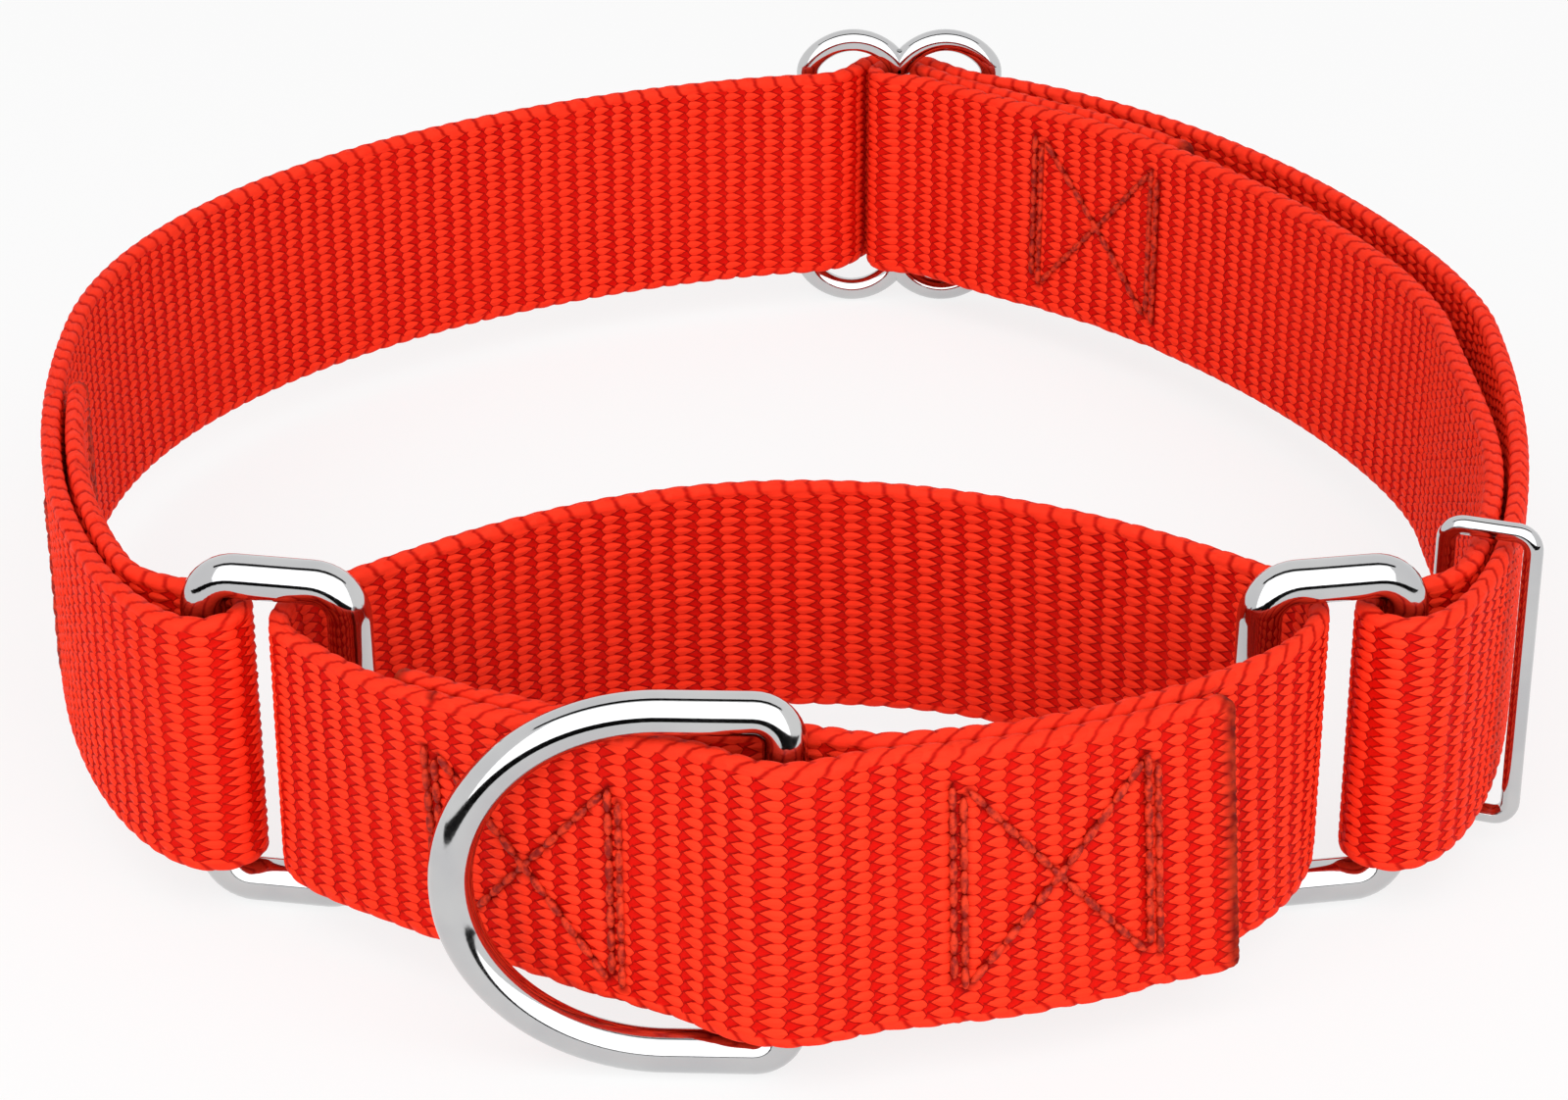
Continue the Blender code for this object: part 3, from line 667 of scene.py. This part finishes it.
def makeDRing():
    rise = jointAxis["d_ring_swing"].normalized()
    bar = jointPlace["d_ring_swing"]
    half = dRing["wire"] / 2
    verts = [v.co - bar for v in frame["nodes"]["d_ring"].data.vertices]
    tip = min(verts, key=lambda v: v.x)
    nearTip = [v for v in verts if v.x < tip.x + 0.1 * mm]
    way = sum(nearTip, Vector()) / len(nearTip)
    way = (way - rise * way.dot(rise)).normalized()
    bow = max(v.dot(way) for v in verts) - half - dRing["straight"]
    top = max(v.dot(rise) for v in verts) - half
    corner = dRing["corner"]
    line = [Vector((0, y)) for y in np.linspace(-top + corner, top - corner, 10)[:-1]]
    line += arcPoints(Vector((corner, top - corner)), corner, math.pi, math.pi / 2, 10)
    for i in range(dRing["bowSteps"] + 1):
        turn = math.pi / 2 - math.pi * i / dRing["bowSteps"]
        line.append(Vector((dRing["straight"] + bow * math.cos(turn), top * math.sin(turn))))
    line += arcPoints(Vector((corner, corner - top)), corner, -math.pi / 2, -math.pi, 10)[:-1]
    path = standing(bar, way, line, rise)
    piece = sweepWire("dRing", path, dRing["wire"], rise.cross(way), sides=24)
    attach(piece, "d_ring")
    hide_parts("d_ring")


slide = {"wire": 2.6 * mm, "arch": 4.0 * mm, "fullness": 0.52, "archSteps": 96}


def makeSlide():
    low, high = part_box("slide_frame")
    centre = (low + high) / 2
    half = slide["wire"] / 2
    pitch = (high.x - low.x) / 2 - half
    shoulder = (high.z - low.z) / 2 - half - slide["arch"]
    arch = []
    for i in range(slide["archSteps"] + 1):
        # Points crowd where the arches turn fastest
        share = i / slide["archSteps"] * 4
        part = math.floor(min(share, 3.999))
        eased = part + (1 - math.cos((share - part) * math.pi)) / 2
        x = -pitch + pitch * eased / 2
        rise = abs(math.sin(math.pi * x / pitch)) ** slide["fullness"]
        arch.append(Vector((x, shoulder + slide["arch"] * rise)))
    sides = [Vector((pitch, y)) for y in np.linspace(shoulder, -shoulder, 12)[1:-1]]
    line = arch + sides + [-p for p in arch] + [-p for p in sides]
    way = Vector((1, 0, 0))
    flatSide = up.cross(way)
    path = standing(centre, way, line)
    piece = sweepWire("slideFrame", path, slide["wire"], flatSide, sides=18)
    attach(piece, "slide")
    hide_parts("slide_frame")
    bar = [Vector((0, y)) for y in np.linspace(-shoulder, shoulder, 14)]
    path = standing(centre, way, bar)
    piece = sweepWire("slideCentreBar", path, slide["wire"], flatSide, closed=False, sides=18)
    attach(piece, "slide")
    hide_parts("slide_centre_bar")


keeper = {"wire": 1.8 * mm, "width": 7.9 * mm, "corner": 1.6 * mm}


def makeKeeper():
    low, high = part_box("keeper")
    along = jointAxis["keeper_slide"]
    across = up.cross(along)
    outline = roundedFrame(keeper["width"], high.z - low.z - keeper["wire"], keeper["corner"])
    path = standing((low + high) / 2, across, outline)
    piece = sweepWire("keeper", path, keeper["wire"], along, sides=16)
    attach(piece, "keeper")
    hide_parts("keeper")


# Box seams: double rows of stitches at both ends, and a cross between them
seam = {
    "height": 17.4 * mm,
    "length": 17.4 * mm,
    "rowGap": 0.95 * mm,
    "stitch": 2.15 * mm,
    "thread": 0.78 * mm,
    "sink": 0.20 * mm,
    "dent": 0.28 * mm,
    "dentReach": 0.60 * mm,
    # Reach and strength of the painted shade round each needle hole
    "hole": 0.42 * mm,
    "holeShadeAmount": 0.95,
    "reach": 4.0 * mm,
}


def threadMaterial():
    made, tree, shader = newMaterial("redThread")
    place = objectPlace(tree)
    fleck = noise(tree, place, 1500.0, 3.0)
    dark = (0.26, 0.006, 0.002, 1)
    light = (0.72, 0.040, 0.010, 1)
    colour = mixColour(tree, remap(tree, fleck, 0.35, 0.65), dark, light)
    tree.links.new(colour, shader.inputs["Base Color"])
    tree.links.new(remap(tree, fleck, 0.3, 0.7, 0.5, 0.75), shader.inputs["Roughness"])
    shader.inputs["Specular IOR Level"].default_value = 0.2
    bump(tree, shader, fleck, 0.6, 0.1 * mm)
    return made


# Stitches of one seam: start and end as run and height on the strap, and the side they lie on
def planSeam(node, strap):
    low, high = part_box(node)
    centre = (low + high) / 2
    middle = strap.nearest(centre.x, centre.y)
    place, side = strap.frame(np.array([middle]))
    flat = (place[0, :2] + place[0, 2:]) / 2
    toLeft = (centre.x - flat[0]) * side[0, 0] + (centre.y - flat[1]) * side[0, 1]
    outward = math.copysign(1, toLeft)
    half, tall = seam["length"] / 2, seam["height"] / 2
    lines = []
    for end in (-half, half):
        for gap in (-0.5, 0.5):
            run = end + gap * seam["rowGap"]
            stagger = gap * seam["stitch"] / 2
            lines.append(((run, -tall + stagger), (run, tall + stagger)))
    inset = half - seam["rowGap"]
    lines.append(((-inset, tall), (inset, -tall)))
    lines.append(((-inset, -tall), (inset, tall)))
    shift = np.array([middle, centre.z - strapMiddle])
    stitches = []
    for start, end in lines:
        start, end = np.array(start) + shift, np.array(end) + shift
        count = int(round(np.linalg.norm(end - start) / seam["stitch"]))
        holes = [start + (end - start) * i / count for i in range(count + 1)]
        stitches += [(a, b, outward) for a, b in zip(holes, holes[1:])]
    return stitches


def makeSeam(name, node, strap, body, stitches):
    bm = bmesh.new()
    face = webbing["half"] + webbing["grainRise"] - seam["sink"]
    for start, end, outward in stitches:
        runs = np.array([start[0], end[0]])
        heights = np.array([start[1], end[1]])
        a, b = strap.places(runs, heights, np.full(2, outward * face))
        addStitch(bm, Vector(a), Vector(b))
    bmesh.ops.recalc_face_normals(bm, faces=bm.faces)
    for f in bm.faces:
        f.smooth = True
    piece = finishPiece(name, bm, redThread)
    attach(piece, body)
    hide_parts(node)


def addStitch(bm, a, b):
    made = bmesh.ops.create_uvsphere(bm, u_segments=8, v_segments=6, radius=0.5)["verts"]
    way = b - a
    turn = way.to_track_quat("Z", "X").to_matrix().to_4x4()
    size = Matrix.Diagonal((seam["thread"], seam["thread"], way.length, 1))
    bmesh.ops.transform(bm, matrix=Matrix.Translation((a + b) / 2) @ turn @ size, verts=made)


# Stage: white floor, a soft box and dark cards that give the metal its lines
stage = {
    "floor": 3.0,
    "world": 0.58,
    "softBox": 9.2,
    "softBoxSize": (1.6, 1.35),
    "softBoxPlace": (0, -0.60, 0.50),
    "cards": (
        ((0, 0.02, 0.90), (1.8, 0.20), 0.0),
        ((0, -0.74, 0.045), (2.4, 1.16), -4.2),
    ),
}


# A dark card that only the metal sees
def makeCard(number, place, size, tilt):
    bm = bmesh.new()
    bmesh.ops.create_grid(bm, x_segments=1, y_segments=1, size=0.5)
    turn = Matrix.Rotation(math.radians(tilt), 4, "X")
    stretch = Matrix.Diagonal((size[0], size[1], 1, 1))
    bmesh.ops.transform(bm, matrix=Matrix.Translation(place) @ turn @ stretch, verts=bm.verts)
    mesh = bpy.data.meshes.new("darkCard")
    bm.to_mesh(mesh)
    bm.free()
    made, tree, shader = newMaterial("darkCard")
    shader.inputs["Base Color"].default_value = (0.004, 0.004, 0.004, 1)
    shader.inputs["Specular IOR Level"].default_value = 0.0
    shader.inputs["Roughness"].default_value = 1.0
    mesh.materials.append(made)
    card = bpy.data.objects.new("darkCard%d" % number, mesh)
    bpy.context.scene.collection.objects.link(card)
    card.visible_camera = False
    card.visible_diffuse = False
    card.visible_shadow = False


# Rays that see the stage itself, rather than the light it gives
def seenRays(tree):
    path = tree.nodes.new("ShaderNodeLightPath")
    seen = maths(tree, "MAXIMUM", path.outputs["Is Camera Ray"], path.outputs["Is Glossy Ray"])
    return maths(tree, "MAXIMUM", seen, path.outputs["Is Transmission Ray"])


def floorMaterial():
    made, tree, shader = newMaterial("paleFloor")
    shader.inputs["Base Color"].default_value = (0.86, 0.86, 0.86, 1)
    shader.inputs["Roughness"].default_value = 0.9
    seen = seenRays(tree)
    glow = tree.nodes.new("ShaderNodeEmission")
    glow.inputs["Strength"].default_value = 1.0
    mix = tree.nodes.new("ShaderNodeMixShader")
    feed(tree, mix.inputs[0], maths(tree, "MULTIPLY", seen, 0.8))
    tree.links.new(shader.outputs[0], mix.inputs[1])
    tree.links.new(glow.outputs[0], mix.inputs[2])
    tree.links.new(mix.outputs[0], tree.nodes["Material Output"].inputs["Surface"])
    return made


def makeStage():
    bm = bmesh.new()
    bmesh.ops.create_grid(bm, x_segments=1, y_segments=1, size=stage["floor"] / 2)
    mesh = bpy.data.meshes.new("floor")
    bm.to_mesh(mesh)
    bm.free()
    mesh.materials.append(floorMaterial())
    floor = bpy.data.objects.new("floor", mesh)
    bpy.context.scene.collection.objects.link(floor)

    def lamp(name, place, target, width, depth, power):
        data = bpy.data.lights.new(name, "AREA")
        data.shape = "RECTANGLE"
        data.size = width
        data.size_y = depth
        data.energy = power
        made = bpy.data.objects.new(name, data)
        made.location = place
        made.rotation_euler = (Vector(target) - Vector(place)).to_track_quat("-Z", "Y").to_euler()
        bpy.context.scene.collection.objects.link(made)

    lamp("softBox", stage["softBoxPlace"], (0, 0, 0), *stage["softBoxSize"], stage["softBox"])
    for number, card in enumerate(stage["cards"]):
        makeCard(number, *card)

    world = bpy.data.worlds.new("studio")
    bpy.context.scene.world = world
    world.use_nodes = True
    tree = world.node_tree
    background = tree.nodes["Background"]
    background.inputs["Color"].default_value = (1, 1, 1, 1)
    seen = seenRays(tree)
    feed(tree, background.inputs["Strength"], remap(tree, seen, 0.0, 1.0, stage["world"], 1.0))
    bpy.context.scene.view_settings.view_transform = "Standard"


makeCamera()
makeStage()
print("camera and stage ready")

redWebbing = webbingMaterial()
redThread = threadMaterial()
nickelPlate = nickelMaterial()

straps = {n: strapLine(n) for n in frame["nodes"] if "strap" in n}
low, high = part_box("neck_strap_back")
strapMiddle = (low.z + high.z) / 2
leftEnd, back = straps["neck_strap_left_end"], straps["neck_strap_back"]
rightEnd, innerRun = straps["neck_strap_right_end"], straps["neck_strap_inner_run"]
neck = Strap(chain(leftEnd, back, rightEnd, innerRun))
loop = Strap(straps["control_loop_strap"])
print("neck strap %.0f mm, control loop strap %.0f mm" % (neck.length / mm, loop.length / mm))

# Seams are planned first, because the webbing dips under their stitches
seams = {}
for name, strap, body in (
    ("left_box", loop, "control_loop"),
    ("right_box", loop, "control_loop"),
    ("left_end", neck, "left_end"),
    ("slide_end", neck, "neck_strap"),
):
    for kind in ("needle", "bobbin"):
        node = name + "_" + kind + "_thread"
        seams[node] = (strap, body, planSeam(node, strap))
stitchesOn = {neck: [], loop: []}
for strap, body, plan in seams.values():
    stitchesOn[strap] += plan

# The neck strap is split where its ends bend in, and at the slide
flex = {"reach": 16.0 * mm, "spread": 13.5 * mm, "slideSplit": 12.0 * mm}
leftHinge = neck.run[len(leftEnd)]
rightHinge = neck.run[len(leftEnd) + len(back)]
innerHinge = neck.run[len(leftEnd) + len(back) + len(rightEnd)]
slidePlace = jointPlace["slide_rock"]
slideRun = neck.nearest(slidePlace.x - flex["slideSplit"], slidePlace.y)
cuts = [leftHinge + flex["reach"], slideRun, rightHinge - flex["reach"], innerHinge + flex["reach"]]


def bendAt(piece):
    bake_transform(piece)


sewn = stitchesOn[neck]
piece = makeStrap("neckLeftEnd", neck, 0, cuts[0], sewn, cutStart=True)
bendAt(piece)
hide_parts("neck_strap_left_end")
for name, start, end in (("neckBackLeft", cuts[0], cuts[1]), ("neckBackRight", cuts[1], cuts[2])):
    piece = makeStrap(name, neck, start, end, sewn)
    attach(piece, "neck_strap")
    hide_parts("neck_strap_back")
piece = makeStrap("neckRightEnd", neck, cuts[2], cuts[3], sewn)
bendAt(piece)
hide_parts("neck_strap_right_end")
piece = makeStrap("neckInner", neck, cuts[3], neck.length, sewn, cutEnd=True)
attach(piece, "neck_strap")
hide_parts("neck_strap_inner_run")
print("neck strap made")

half = loop.length / 2
for name, start, end in (("controlLoopInner", 0, half), ("controlLoopOuter", half, loop.length)):
    first = start == 0
    piece = makeStrap(name, loop, start, end, stitchesOn[loop], cutStart=first, cutEnd=not first)
    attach(piece, "control_loop")
    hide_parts("control_loop_strap")
print("control loop made")

makeRing("left")
makeRing("right")
makeDRing()
makeSlide()
makeKeeper()
print("hardware made")

for node, (strap, body, stitches) in seams.items():
    words = node.split("_")
    makeSeam(words[0] + "".join(word.title() for word in words[1:]), node, strap, body, stitches)
print("seams sewn")
